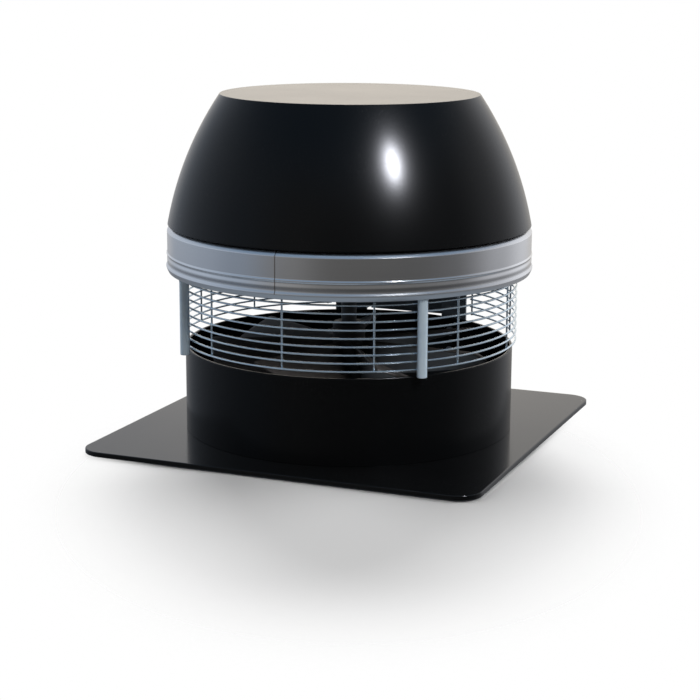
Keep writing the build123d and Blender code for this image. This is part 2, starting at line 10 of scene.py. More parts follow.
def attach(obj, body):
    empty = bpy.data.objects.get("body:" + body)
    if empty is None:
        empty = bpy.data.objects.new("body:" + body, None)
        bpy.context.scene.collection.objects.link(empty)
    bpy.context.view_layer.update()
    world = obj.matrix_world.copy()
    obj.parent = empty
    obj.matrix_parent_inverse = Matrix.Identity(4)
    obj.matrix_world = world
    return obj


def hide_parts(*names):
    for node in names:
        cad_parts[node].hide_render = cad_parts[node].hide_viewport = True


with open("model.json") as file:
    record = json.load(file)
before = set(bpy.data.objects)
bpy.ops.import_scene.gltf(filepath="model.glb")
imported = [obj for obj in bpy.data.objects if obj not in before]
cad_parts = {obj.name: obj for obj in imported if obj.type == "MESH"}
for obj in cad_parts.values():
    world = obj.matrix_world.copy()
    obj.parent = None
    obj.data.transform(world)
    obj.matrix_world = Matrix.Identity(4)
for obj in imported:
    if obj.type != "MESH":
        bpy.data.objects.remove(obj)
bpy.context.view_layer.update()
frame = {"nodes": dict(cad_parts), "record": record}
scene = bpy.context.scene
nodes = frame["nodes"]
mm = 0.001
print("frame loaded:", len(nodes), "nodes")


# mesh helpers: all shapes below are in millimetres, scaled when the mesh is made

def quadGrid(rows, cols, wrapRows, wrapCols, start):
    # cell (i, j) joins the grid points (i, j), (i, j+1), (i+1, j+1) and (i+1, j)
    i = np.arange(rows if wrapRows else rows - 1)[:, None]
    j = np.arange(cols if wrapCols else cols - 1)[None, :]
    iNext, jNext = (i + 1) % rows, (j + 1) % cols
    cells = np.stack([i * cols + j, i * cols + jNext, iNext * cols + jNext, iNext * cols + j], -1)
    return start + cells.reshape(-1, 4)


def addPiece(name, grids, body, material, replaced):
    # grids: (points[rows, cols, 3], wrapRows, wrapCols); poles are merged and faces turned outwards
    points, cells, count = [], [], 0
    for grid, wrapRows, wrapCols in grids:
        rows, cols = grid.shape[:2]
        points.append(grid.reshape(-1, 3))
        cells.append(quadGrid(rows, cols, wrapRows, wrapCols, count))
        count += rows * cols
    mesh = bpy.data.meshes.new(name)
    mesh.from_pydata((np.concatenate(points) * mm).tolist(), [], np.concatenate(cells).tolist())
    work = bmesh.new()
    work.from_mesh(mesh)
    bmesh.ops.remove_doubles(work, verts=work.verts, dist=1e-7)
    bmesh.ops.recalc_face_normals(work, faces=work.faces)
    work.to_mesh(mesh)
    work.free()
    mesh.polygons.foreach_set("use_smooth", np.ones(len(mesh.polygons), bool))
    piece = bpy.data.objects.new(name, mesh)
    scene.collection.objects.link(piece)
    mesh.materials.append(material)
    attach(piece, body)
    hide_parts(*replaced)


def unit(v):
    return v / np.linalg.norm(v)


def softCorner(before, corner, after, radius, steps=5):
    # arc tangent to both sides of a corner, with one holding point on each side of it
    before, corner, after = (np.array(p, float) for p in (before, corner, after))
    a, b = unit(before - corner), unit(after - corner)
    half = 0.5 * math.acos(np.clip(a @ b, -1, 1))
    cut = radius / math.tan(half)
    centre = corner + unit(a + b) * radius / math.sin(half)
    first, last = corner + a * cut - centre, corner + b * cut - centre
    sweep = math.acos(np.clip(first @ last / radius**2, -1, 1))
    t = np.linspace(0, 1, steps + 1)[:, None]
    arc = centre + (np.sin((1 - t) * sweep) * first + np.sin(t * sweep) * last) / math.sin(sweep)
    hold = 0.7 * radius
    return np.concatenate([[arc[0] + a * hold], arc, [arc[-1] + b * hold]])


def softLoop(corners, radii):
    # closed outline with every corner rounded
    count = len(corners)
    arcs = [softCorner(corners[k - 1], corners[k], corners[(k + 1) % count], radii[k]) for k in range(count)]
    return np.concatenate(arcs)


def revolved(outline, angles, dip=0.0):
    # point = ((r + dip) cos a, (r + dip) sin a, z) for each (r, z) of the outline and each angle a
    r = outline[:, :1] + np.broadcast_to(dip, len(angles))
    z = np.broadcast_to(outline[:, 1:], r.shape)
    return np.stack([r * np.cos(angles), r * np.sin(angles), z], -1)


def turned(outline, place, sides=48):
    # the same revolve about an upright axis through place
    grid = revolved(outline, np.linspace(0, 2 * np.pi, sides, endpoint=False))
    return grid + np.array([place[0], place[1], 0.0])


def flatRows(radii, level):
    # points (r, level) across a flat face
    return np.stack([np.array(radii, float), np.full(len(radii), level)], -1)


def tubeSection(inner, outer, low, high, edges):
    # section of a tube's wall, its four corners rounded by the radii in edges
    return softLoop([(inner, low), (outer, low), (outer, high), (inner, high)], edges)


# the angles of the large turned pieces
around = np.linspace(0, 2 * np.pi, 288, endpoint=False)


# node groups shared by the finishes

def newGroup(name, inputs, outputs):
    group = bpy.data.node_groups.new(name, "ShaderNodeTree")
    for label, kind, value in inputs:
        socket = group.interface.new_socket(name=label, in_out="INPUT", socket_type=kind)
        if value is not None:
            socket.default_value = value
    for label, kind in outputs:
        group.interface.new_socket(name=label, in_out="OUTPUT", socket_type=kind)
    return group, group.nodes.new("NodeGroupInput"), group.nodes.new("NodeGroupOutput")


def noiseIn(tree, vector, scale, detail=3.0, roughness=0.5):
    node = tree.nodes.new("ShaderNodeTexNoise")
    node.inputs["Detail"].default_value = detail
    node.inputs["Roughness"].default_value = roughness
    tree.links.new(vector, node.inputs["Vector"])
    if isinstance(scale, (int, float)):
        node.inputs["Scale"].default_value = scale
    else:
        tree.links.new(scale, node.inputs["Scale"])
    return node.outputs["Fac"]


def mathIn(tree, operation, a, b=None, clamp=False):
    node = tree.nodes.new("ShaderNodeMath")
    node.operation = operation
    node.use_clamp = clamp
    for socket, value in zip(node.inputs, (a, b)):
        if isinstance(value, (int, float)):
            socket.default_value = value
        elif value is not None:
            tree.links.new(value, socket)
    return node.outputs[0]


def rangeIn(tree, value, low, high, toLow, toHigh):
    node = tree.nodes.new("ShaderNodeMapRange")
    node.interpolation_type = "SMOOTHSTEP"
    for label, number in (("From Min", low), ("From Max", high), ("To Min", toLow), ("To Max", toHigh)):
        if isinstance(number, (int, float)):
            node.inputs[label].default_value = number
        else:
            tree.links.new(number, node.inputs[label])
    tree.links.new(value, node.inputs["Value"])
    return node.outputs["Result"]


def mixIn(tree, factor, a, b):
    # colour a where the factor is zero and b where it is one, each a socket or three numbers
    node = tree.nodes.new("ShaderNodeMix")
    node.data_type = "RGBA"
    for label, value in (("A", a), ("B", b)):
        if isinstance(value, tuple):
            node.inputs[label].default_value = (*value, 1)
        else:
            tree.links.new(value, node.inputs[label])
    tree.links.new(factor, node.inputs["Factor"])
    return node.outputs["Result"]


def placeIn(tree):
    # the point's x, y and z on the piece, in metres
    split = tree.nodes.new("ShaderNodeSeparateXYZ")
    tree.links.new(tree.nodes.new("ShaderNodeTexCoord").outputs["Object"], split.inputs[0])
    return split.outputs


# orange peel of sprayed paint, with slow mottling and sparse dust specks that gather in patches
dusting = dict(speckScale=1400.0, specks=(0.66, 0.76), patchScale=14.0, patches=(0.45, 0.7))
paintSkin, gin, gout = newGroup(
    "paintSkin",
    [
        ("Vector", "NodeSocketVector", None), ("Peel Scale", "NodeSocketFloat", 420.0),
        ("Mottle Scale", "NodeSocketFloat", 9.0),
    ],
    [("Height", "NodeSocketFloat"), ("Mottle", "NodeSocketFloat"), ("Dust", "NodeSocketFloat")],
)
peel = noiseIn(paintSkin, gin.outputs["Vector"], gin.outputs["Peel Scale"], 1.0)
mottle = noiseIn(paintSkin, gin.outputs["Vector"], gin.outputs["Mottle Scale"], 4.0, 0.55)
specks = noiseIn(paintSkin, gin.outputs["Vector"], dusting["speckScale"], 1.0)
patches = noiseIn(paintSkin, gin.outputs["Vector"], dusting["patchScale"], 3.0)
speckMask = rangeIn(paintSkin, specks, *dusting["specks"], 0, 1)
patchMask = rangeIn(paintSkin, patches, *dusting["patches"], 0, 1)
dust = mathIn(paintSkin, "MULTIPLY", speckMask, patchMask)
paintSkin.links.new(peel, gout.inputs["Height"])
paintSkin.links.new(mottle, gout.inputs["Mottle"])
paintSkin.links.new(dust, gout.inputs["Dust"])

# fine lines left by rolling or drawing: noise stretched along one direction by Stretch
drawnGrain, gin, gout = newGroup(
    "drawnGrain",
    [
        ("Vector", "NodeSocketVector", None), ("Stretch", "NodeSocketVector", (8.0, 8.0, 1500.0)),
        ("Mottle Scale", "NodeSocketFloat", 12.0),
    ],
    [("Lines", "NodeSocketFloat"), ("Mottle", "NodeSocketFloat")],
)
stretched = drawnGrain.nodes.new("ShaderNodeVectorMath")
stretched.operation = "MULTIPLY"
drawnGrain.links.new(gin.outputs["Vector"], stretched.inputs[0])
drawnGrain.links.new(gin.outputs["Stretch"], stretched.inputs[1])
lines = noiseIn(drawnGrain, stretched.outputs[0], 1.0, 4.0, 0.6)
mottle = noiseIn(drawnGrain, gin.outputs["Vector"], gin.outputs["Mottle Scale"], 3.0)
drawnGrain.links.new(lines, gout.inputs["Lines"])
drawnGrain.links.new(mottle, gout.inputs["Mottle"])
print("node groups built")


# shared by the finishes: the noise's useful span, the dust, and the depth in metres of peel and grain
finishing = dict(
    span=(0.3, 0.7), dustColour=(0.3, 0.29, 0.27), dustDulls=0.25, peelDepth=0.0004, grainDepth=0.0003,
)


def blankFinish(name, finish):
    material = bpy.data.materials.new(name)
    material.use_nodes = True
    tree = material.node_tree
    shader = tree.nodes["Principled BSDF"]
    shader.inputs["Metallic"].default_value = finish.get("metallic", 0.0)
    shader.inputs["IOR"].default_value = 1.5
    shader.inputs["Specular IOR Level"].default_value = finish.get("gloss", 0.5)
    coords = tree.nodes.new("ShaderNodeTexCoord").outputs["Object"]
    return material, tree, shader, coords


def bumpOn(tree, shader, height, strength, distance):
    node = tree.nodes.new("ShaderNodeBump")
    node.inputs["Strength"].default_value = strength
    node.inputs["Distance"].default_value = distance
    tree.links.new(height, node.inputs["Height"])
    tree.links.new(node.outputs["Normal"], shader.inputs["Normal"])


def sprayed(name, finish):
    material, tree, shader, coords = blankFinish(name, finish)
    skin = tree.nodes.new("ShaderNodeGroup")
    skin.node_tree = paintSkin
    skin.inputs["Peel Scale"].default_value = finish["peel"]
    skin.inputs["Mottle Scale"].default_value = finish["mottle"]
    tree.links.new(coords, skin.inputs["Vector"])
    body = mixIn(tree, skin.outputs["Mottle"], finish["low"], finish["high"])
    dustiness = mathIn(tree, "MULTIPLY", skin.outputs["Dust"], finish["dust"])
    tree.links.new(mixIn(tree, dustiness, body, finishing["dustColour"]), shader.inputs["Base Color"])
    rough = rangeIn(tree, skin.outputs["Mottle"], *finishing["span"], *finish["rough"])
    dulling = mathIn(tree, "MULTIPLY", skin.outputs["Dust"], finishing["dustDulls"])
    tree.links.new(mathIn(tree, "ADD", rough, dulling, True), shader.inputs["Roughness"])
    bumpOn(tree, shader, skin.outputs["Height"], finish["bump"], finishing["peelDepth"])
    return material


def drawn(name, finish):
    material, tree, shader, coords = blankFinish(name, finish)
    grain = tree.nodes.new("ShaderNodeGroup")
    grain.node_tree = drawnGrain
    grain.inputs["Stretch"].default_value = finish["stretch"]
    grain.inputs["Mottle Scale"].default_value = finish["mottle"]
    tree.links.new(coords, grain.inputs["Vector"])
    halfLines = mathIn(tree, "MULTIPLY", grain.outputs["Lines"], 0.5)
    mixed = mathIn(tree, "ADD", halfLines, mathIn(tree, "MULTIPLY", grain.outputs["Mottle"], 0.5))
    shade = rangeIn(tree, mixed, *finishing["span"], 0, 1)
    tree.links.new(mixIn(tree, shade, finish["low"], finish["high"]), shader.inputs["Base Color"])
    tree.links.new(rangeIn(tree, mixed, *finishing["span"], *finish["rough"]), shader.inputs["Roughness"])
    bumpOn(tree, shader, grain.outputs["Lines"], finish["bump"], finishing["grainDepth"])
    return material


paints = {
    "glossBlack": dict(
        gloss=0.25, low=(0.0017, 0.0020, 0.0024), high=(0.0022, 0.0026, 0.0030), rough=(0.216, 0.226),
        peel=260.0, mottle=7.0, bump=0.02, dust=0.03,
    ),
    "plateBlack": dict(
        gloss=0.40, low=(0.0026, 0.0029, 0.0033), high=(0.0034, 0.0038, 0.0042), rough=(0.11, 0.14),
        peel=240.0, mottle=6.0, bump=0.02, dust=0.06,
    ),
    "hingeGrey": dict(
        low=(0.12, 0.148, 0.182), high=(0.15, 0.178, 0.212), rough=(0.34, 0.46), peel=500.0, mottle=18.0,
        bump=0.06, dust=0.10,
    ),
    "deckBlack": dict(
        low=(0.006, 0.0065, 0.007), high=(0.010, 0.0105, 0.011), rough=(0.35, 0.5), peel=420.0, mottle=10.0,
        bump=0.05, dust=0.10,
    ),
    "sootRubber": dict(
        low=(0.006, 0.006, 0.006), high=(0.012, 0.012, 0.012), rough=(0.6, 0.8), peel=900.0, mottle=20.0,
        bump=0.12, dust=0.05,
    ),
    "boxPlastic": dict(
        low=(0.30, 0.31, 0.32), high=(0.36, 0.37, 0.38), rough=(0.42, 0.52), peel=1500.0, mottle=25.0,
        bump=0.08, dust=0.03,
    ),
    "glandPlastic": dict(
        low=(0.010, 0.010, 0.010), high=(0.016, 0.016, 0.016), rough=(0.4, 0.5), peel=1500.0, mottle=25.0,
        bump=0.08, dust=0.03,
    ),
    "windingVarnish": dict(
        low=(0.30, 0.11, 0.035), high=(0.42, 0.17, 0.06), rough=(0.3, 0.45), peel=900.0, mottle=60.0,
        bump=0.4, dust=0.0,
    ),
}
metals = {
    "bandAluminium": dict(
        metallic=1.0, low=(0.90, 0.905, 0.92), high=(0.95, 0.955, 0.965), rough=(0.19, 0.23),
        stretch=(7.0, 7.0, 1600.0), mottle=14.0, bump=0.012,
    ),
    "zincWire": dict(
        metallic=0.9, low=(0.72, 0.85, 0.98), high=(0.82, 0.94, 1.0), rough=(0.15, 0.21),
        stretch=(60.0, 60.0, 400.0), mottle=70.0, bump=0.05,
    ),
    "zincRod": dict(
        metallic=0.38, low=(0.68, 0.83, 0.97), high=(0.76, 0.90, 1.0), rough=(0.3, 0.38),
        stretch=(900.0, 900.0, 25.0), mottle=60.0, bump=0.05,
    ),
    "fixingZinc": dict(
        metallic=1.0, low=(0.46, 0.48, 0.52), high=(0.60, 0.62, 0.65), rough=(0.28, 0.4),
        stretch=(500.0, 500.0, 500.0), mottle=90.0, bump=0.06,
    ),
    "castAluminium": dict(
        metallic=1.0, low=(0.42, 0.43, 0.44), high=(0.55, 0.56, 0.57), rough=(0.45, 0.6),
        stretch=(700.0, 700.0, 700.0), mottle=35.0, bump=0.25,
    ),
    "bladeAluminium": dict(
        metallic=0.15, low=(0.10, 0.090, 0.084), high=(0.17, 0.152, 0.14), rough=(0.5, 0.65),
        stretch=(260.0, 260.0, 260.0), mottle=22.0, bump=0.15,
    ),
    "bearingSteel": dict(
        metallic=1.0, low=(0.6, 0.6, 0.62), high=(0.7, 0.7, 0.72), rough=(0.12, 0.2),
        stretch=(30.0, 30.0, 1200.0), mottle=60.0, bump=0.03,
    ),
    "coreSteel": dict(
        metallic=1.0, low=(0.18, 0.18, 0.19), high=(0.30, 0.30, 0.31), rough=(0.4, 0.5),
        stretch=(4.0, 4.0, 2600.0), mottle=30.0, bump=0.35,
    ),
    "shaftSteel": dict(
        metallic=0.9, low=(0.05, 0.052, 0.056), high=(0.085, 0.087, 0.09), rough=(0.34, 0.45),
        stretch=(30.0, 30.0, 1400.0), mottle=40.0, bump=0.06,
    ),
}
finishes = {name: sprayed(name, finish) for name, finish in paints.items()}
finishes.update({name: drawn(name, finish) for name, finish in metals.items()})


def darkened(material, colour, maskOf):
    # lays a darker colour over a finish where maskOf(tree, x, y, z) is one
    tree = material.node_tree
    base = tree.nodes["Principled BSDF"].inputs["Base Color"]
    mask = maskOf(tree, *placeIn(tree))
    tree.links.new(mixIn(tree, mask, base.links[0].from_socket, colour), base)


# the band's seam, and painted shade that darkens the impeller's boss and blade roots where the motor shades
# them, in metres
seam = dict(line=(0.00035, 0.0007), foot=0.1765, colour=(0.34, 0.30, 0.27))
bossShade = dict(span=(0.019, 0.04), most=0.9, colour=(0.010, 0.010, 0.011))


def seamLine(tree, x, y, z):
    # one near the plane x = 0, fading over the line's width, on the front half above the lip's foot
    near = rangeIn(tree, mathIn(tree, "ABSOLUTE", x), *seam["line"], 1.0, 0.0)
    front = mathIn(tree, "MULTIPLY", near, mathIn(tree, "LESS_THAN", y, 0.0))
    return mathIn(tree, "MULTIPLY", front, mathIn(tree, "GREATER_THAN", z, seam["foot"]))


def bossShadeMask(tree, x, y, z):
    # painted shade: most of one near the axis, fading out with the distance from it
    square = mathIn(tree, "ADD", mathIn(tree, "MULTIPLY", x, x), mathIn(tree, "MULTIPLY", y, y))
    return rangeIn(tree, mathIn(tree, "SQRT", square), *bossShade["span"], bossShade["most"], 0.0)


darkened(finishes["bandAluminium"], seam["colour"], seamLine)
# painted shade under the motor, laid into the blades' colour near the axis
darkened(finishes["bladeAluminium"], bossShade["colour"], bossShadeMask)

# the band's rolled edges are duller than its wall: rougher below the lip's top and above the wall's top
dulled = dict(rough=0.34, lip=(0.1800, 0.1825), top=(0.2125, 0.2140))
tree = finishes["bandAluminium"].node_tree
roughness = tree.nodes["Principled BSDF"].inputs["Roughness"]
height = placeIn(tree)["Z"]
lipMask = rangeIn(tree, height, *dulled["lip"], 1.0, 0.0)
edgeMask = mathIn(tree, "ADD", lipMask, rangeIn(tree, height, *dulled["top"], 0.0, 1.0))
blend = tree.nodes.new("ShaderNodeMix")
blend.inputs["B"].default_value = dulled["rough"]
tree.links.new(roughness.links[0].from_socket, blend.inputs["A"])
tree.links.new(edgeMask, blend.inputs["Factor"])
tree.links.new(blend.outputs["Result"], roughness)

slotFinish = {
    "black_paint": "glossBlack", "hinge_steel": "hingeGrey", "band_metal": "bandAluminium",
    "zinc": "zincWire", "fixings": "fixingZinc", "seal_rubber": "sootRubber", "deck_steel": "deckBlack",
    "motor_casting": "castAluminium", "bearing_steel": "bearingSteel", "core_steel": "coreSteel",
    "winding": "windingVarnish", "shaft_steel": "shaftSteel", "impeller_metal": "bladeAluminium",
    "grey_plastic": "boxPlastic", "black_plastic": "glandPlastic",
}
for part in frame["record"]["subparts"]:
    mesh = nodes[part["node"]].data
    mesh.materials.clear()
    mesh.materials.append(finishes[slotFinish[part["material_slot"]]])
print("finishes:", len(finishes))

# cowl: arc of a large radius in section, turned about the axis, with a flat top and a foot flange
cowl = dict(
    foot=(188.4, 219.4), top=(133.5, 352.6), bend=350.0, wall=2.0, flangeInner=179.0, topEdge=0.8,
    footEdge=0.5, flangeEdge=0.5, skinEnds=2.5, liningEnds=1.0, skinRows=56, liningRows=24,
    topFace=(0, 20, 50, 85, 115, 129), innerFace=(128, 60, 0),
)


def cowlArc(inset, low, high, count):
    # circle through foot and top: r = cr + sqrt((bend - inset)^2 - (z - cz)^2), sampled from low to high
    foot, top = np.array(cowl["foot"]), np.array(cowl["top"])
    chord = top - foot
    inward = unit(np.array([-chord[1], chord[0]]))
    centre = 0.5 * (foot + top) + inward * math.sqrt(cowl["bend"] ** 2 - 0.25 * chord @ chord)
    z = np.linspace(low, high, count)
    return np.stack([centre[0] + np.sqrt((cowl["bend"] - inset) ** 2 - (z - centre[1]) ** 2), z], -1)


(footR, footZ), (topR, topZ) = cowl["foot"], cowl["top"]
innerFoot, innerTop = footZ + cowl["wall"], topZ - cowl["wall"]
flange = cowl["flangeInner"]
skin = cowlArc(0, footZ + cowl["skinEnds"], topZ - cowl["skinEnds"], cowl["skinRows"])
lining = cowlArc(
    cowl["wall"], innerFoot + cowl["liningEnds"], innerTop - cowl["liningEnds"], cowl["liningRows"],
)
cowlOutline = np.concatenate([
    flatRows(cowl["topFace"], topZ),
    softCorner((cowl["topFace"][-1], topZ), (topR, topZ), skin[-1], cowl["topEdge"]),
    skin[::-1],
    softCorner(skin[0], (footR, footZ), (flange, footZ), cowl["footEdge"]),
    softCorner((footR, footZ), (flange, footZ), (flange, innerFoot), cowl["flangeEdge"]),
    softCorner((flange, footZ), (flange, innerFoot), lining[0], cowl["flangeEdge"]),
    lining,
    flatRows(cowl["innerFace"], innerTop),
])
addPiece(
    "cowlShell", [(revolved(cowlOutline, around), False, True)], "head", finishes["glossBlack"], ["cowl"],
)
print("cowl made")

# band: wall radius plus raised cosine rises for rib and bead; the seam is a narrow dip in radius
band = dict(
    radius=189.0, wall=2.0, low=171.5, high=218.0, edge=5.0, flat=1.55, flangeInner=176.0, flangeEdge=0.5,
    seamDepth=0.06, seamWidth=0.13, seamClear=1.2, wallRows=170, edgeRows=13, columns=300,
)
rises = ((184.3, 3.4, 0.30), (190.2, 1.8, 0.8))  # level, half height, rise
lip = dict(top=180.2, full=176.8, rise=1.3, tuck=2.2)
wallZ = np.linspace(band["low"] + 0.3, band["high"] - band["edge"], band["wallRows"])
wallR = np.full_like(wallZ, band["radius"])
for level, half, rise in rises:
    t = np.clip((wallZ - level) / half, -1, 1)
    wallR += rise * (0.5 + 0.5 * np.cos(np.pi * t)) ** 0.8
# the lip: a smooth step out to its full rise, then a tucked-under foot that curves inwards
t = np.clip((lip["top"] - wallZ) / (lip["top"] - lip["full"]), 0, 1)
wallR += lip["rise"] * t * t * (3 - 2 * t)
t = np.clip((lip["full"] - wallZ) / (lip["full"] - band["low"]), 0, 1)
wallR -= lip["tuck"] * t**1.25
quarter = np.radians(np.linspace(0, 90, band["edgeRows"]))
edgeR, edgeZ = band["radius"] - band["edge"], band["high"] - band["edge"]
inside = band["radius"] - band["wall"]
top, under, flange = band["high"], band["high"] - band["wall"], band["flangeInner"]
rolledR = edgeR + band["edge"] * np.cos(quarter) ** band["flat"]
rolledZ = edgeZ + band["edge"] * np.sin(quarter) ** band["flat"]
bandOutline = np.concatenate([
    [[inside, band["low"]], [inside + 0.4, band["low"]]],
    np.stack([wallR, wallZ], -1),
    np.stack([rolledR, rolledZ], -1)[1:],
    [[edgeR - 1, top]],
    softCorner((edgeR, top), (flange, top), (flange, under), band["flangeEdge"]),
    softCorner((flange, top), (flange, under), (edgeR, under), band["flangeEdge"]),
    [[edgeR, under], [inside - 0.6, edgeZ + 2.4], [inside, edgeZ], [inside, 180.0]],
])
seamSide = np.concatenate([np.linspace(0.03, 0.4, 9), [0.55, 0.8]])
seamAngles = np.radians(-90 + np.concatenate([-seamSide[::-1], [0], seamSide]))
plain = np.radians(np.linspace(-90 + band["seamClear"], 270 - band["seamClear"], band["columns"]))
bandAngles = np.concatenate([seamAngles, plain])
fromSeam = np.degrees((bandAngles + np.pi / 2 + np.pi) % (2 * np.pi) - np.pi)
seamDip = -band["seamDepth"] * np.exp(-(fromSeam / band["seamWidth"]) ** 2)
addPiece(
    "bandRing", [(revolved(bandOutline, bandAngles, seamDip), True, True)], "head", finishes["bandAluminium"],
    ["band"],
)
print("band made")

# inlet cylinder: a tube wall with soft rim edges
cylinder = dict(radius=171.5, wall=3.0, low=5.0, rim=93.0, edges=(0.3, 0.3, 0.8, 0.8))
bore = cylinder["radius"] - cylinder["wall"]
tubeOutline = tubeSection(bore, cylinder["radius"], cylinder["low"], cylinder["rim"], cylinder["edges"])
addPiece(
    "inletTube", [(revolved(tubeOutline, around), True, True)], "base", finishes["glossBlack"],
    ["inlet_cylinder"],
)

# base plate: rows run from the bore to a rounded square, column by column
plate = dict(side=420.0, corner=24.5, thick=5.0, bore=150.0, edge=0.7, boreEdge=0.3, perCorner=17, perSide=24)


def plateRim(inset):
    # the outline drawn in by inset: corner arcs joined by straight sides, counter-clockwise
    half, corner, perSide = 0.5 * plate["side"] - inset, plate["corner"] - inset, plate["perSide"]
    quarterTurn = np.linspace(0, np.pi / 2, plate["perCorner"])
    arc = half - corner + corner * np.stack([np.cos(quarterTurn), np.sin(quarterTurn)], -1)
    side = np.stack(
        [np.linspace(half - corner, corner - half, perSide + 2)[1:-1], np.full(perSide, half)], -1,
    )
    turn = np.array([[0.0, -1.0], [1.0, 0.0]])
    run = [np.concatenate([arc, side])]
    for k in range(3):
        run.append(run[-1] @ turn.T)
    return np.concatenate(run)


rim = plateRim(0.0)
facing = np.arctan2(rim[:, 1], rim[:, 0])
hole = plate["bore"] * np.stack([np.cos(facing), np.sin(facing)], -1)
e, t = plate["edge"], plate["thick"]
bevel = np.radians(np.linspace(0, 90, 6))
rows = [(hole, plate["boreEdge"]), (hole, t - plate["boreEdge"]), (hole * 1.002, t), (hole * 1.01, t)]
rows += [(hole * (1 - w) + plateRim(3 * e) * w, t) for w in (0.35, 0.7, 1.0)]
rows += [(plateRim(e * (1 - math.sin(b))), t - e * (1 - math.cos(b))) for b in bevel]
rows += [(rim, t - 1.5 * e), (rim, 1.5 * e)]
rows += [(plateRim(e * (1 - math.cos(b))), e * (1 - math.sin(b))) for b in bevel]
rows += [(plateRim(3 * e), 0.0), (hole * 1.002, 0.0)]
plateGrid = np.stack([np.concatenate([xy, np.full((len(xy), 1), z)], -1) for xy, z in rows])
addPiece(
    "footPlate", [(plateGrid, True, True)], "base", finishes["plateBlack"], ["base_plate"],
)
print("base made")

# wire guard: round wires carried along C-shaped rings and uprights, with a weld bead at each crossing
guard = dict(
    ringRadius=174.5, uprightRadius=173.0, wire=1.0, first=100.5, pitch=8.15, count=9, openHalf=28.6,
    spacing=30.0, top=171.5, weld=1.35, weldShape=(0.8, 0.8, 0.75), ringSteps=190, uprightSteps=12,
)


def wireTube(line, across, up, radius, sides=10):
    # circle of the given radius in the plane of across and up, carried along line and shrunk at the ends
    shrink = np.ones(len(line) + 4)
    shrink[[0, -1]] = 0.0
    shrink[[1, -2]] = 0.8
    pick = np.clip(np.arange(-2, len(line) + 2), 0, len(line) - 1)
    b = np.linspace(0, 2 * np.pi, sides, endpoint=False)
    cosine, sine = np.cos(b)[None, :, None], np.sin(b)[None, :, None]
    ringOffset = across[pick][:, None] * cosine + up[pick][:, None] * sine
    return line[pick][:, None] + ringOffset * (radius * shrink)[:, None, None]


guardGrids = []
sweepAngles = np.radians(np.linspace(90 + guard["openHalf"], 450 - guard["openHalf"], guard["ringSteps"]))
radial = np.stack([np.cos(sweepAngles), np.sin(sweepAngles), 0 * sweepAngles], -1)
upward = np.broadcast_to([0.0, 0.0, 1.0], radial.shape)
ringLevels = guard["first"] + guard["pitch"] * np.arange(guard["count"])
for level in ringLevels:
    ring = guard["ringRadius"] * radial + level * upward
    guardGrids.append((wireTube(ring, radial, upward, guard["wire"]), False, True))
uprightAngles = np.radians(-90 + guard["spacing"] * np.arange(-5, 6))
# ball of radius one: (sin p cos q, sin p sin q, cos p) for p down from the pole and q round it
p = np.linspace(0, np.pi, 7)[:, None]
q = np.linspace(0, 2 * np.pi, 8, endpoint=False)[None, :]
ball = np.stack([np.sin(p) * np.cos(q), np.sin(p) * np.sin(q), np.cos(p) + 0 * q], -1)
for angle in uprightAngles:
    out = np.array([math.cos(angle), math.sin(angle), 0.0])
    side = np.array([-out[1], out[0], 0.0])
    z = np.linspace(ringLevels[0] - guard["wire"], guard["top"], guard["uprightSteps"])
    line = guard["uprightRadius"] * out + np.outer(z, [0, 0, 1.0])
    outRows, sideRows = (np.tile(v, (guard["uprightSteps"], 1)) for v in (out, side))
    guardGrids.append((wireTube(line, outRows, sideRows, guard["wire"]), False, True))
    for level in ringLevels:
        place = 0.5 * (guard["ringRadius"] + guard["uprightRadius"]) * out + np.array([0, 0, level])
        guardGrids.append((ball * guard["weld"] * np.array(guard["weldShape"]) + place, False, True))
addPiece("guardWires", guardGrids, "head", finishes["zincWire"], ["wire_guard"])

# guard rods: turned bars with a chamfered foot and a small weld flare at the top
rod = dict(circle=180.8, radius=5.0, foot=93.5, top=171.5, chamfer=0.8, angle=45.0)
r, foot, top = rod["radius"], rod["foot"], rod["top"]
rodOutline = np.concatenate([
    [[0, foot], [2.5, foot]],
    softCorner((2.5, foot), (r, foot), (r, 120), rod["chamfer"]),
    [[r, 110], [r, 140], [r, top - 3], [r + 0.15, top - 1.6], [r + 0.8, top - 0.05]],
    [[2.5, top], [0, top]],
])
for side, name in ((-1, "left"), (1, "right")):
    angle = math.radians(-90 + side * rod["angle"])
    place = (rod["circle"] * math.cos(angle), rod["circle"] * math.sin(angle))
    rodGrids = [(turned(rodOutline, place), False, True)]
    addPiece("guardRod_" + name, rodGrids, "head", finishes["zincRod"], ["guard_rod_" + name])
print("guard made")

# impeller: boss turned about the axis, and blades on a helicoid: angle = a0 + u h, z = z0 - u d, -1 < u < 1
impeller = dict(
    blades=7, phase=17.3, tip=145.0, root=14.0, sweep=46.0, drop=40.0, level=75.0, thick=3.0, hub=17.0,
    hubTop=114.5, hubLow=54.0, hubBore=8.02, hubEdges=(0.5, 1.0, 2.5, 0.8), hubSides=64, stations=30,
    fullness=6.5, tipSlim=(0.6, 0.0),
)
hubSizes = (impeller[label] for label in ("hubBore", "hub", "hubLow", "hubTop", "hubEdges"))
hubOutline = tubeSection(*hubSizes)
impellerGrids = [(turned(hubOutline, (0, 0), impeller["hubSides"]), True, True)]
edgeTurn = np.concatenate([np.linspace(-0.16, 0.16, 7), np.linspace(0.3, np.pi - 0.3, 15)])
loopTurn = np.concatenate([edgeTurn, edgeTurn + np.pi])
chordwise, through = np.cos(loopTurn), np.clip(impeller["fullness"] * np.sin(loopTurn), -1, 1)
tip = impeller["tip"]
stations = np.concatenate([np.linspace(impeller["root"], tip - 1, impeller["stations"]), [tip, tip]])
slim = np.ones(len(stations))
slim[-2:] = impeller["tipSlim"]
halfThick = (0.5 * impeller["thick"] * slim[:, None] * through)[..., None]
r = stations[:, None]
h, d = 0.5 * math.radians(impeller["sweep"]), 0.5 * impeller["drop"]
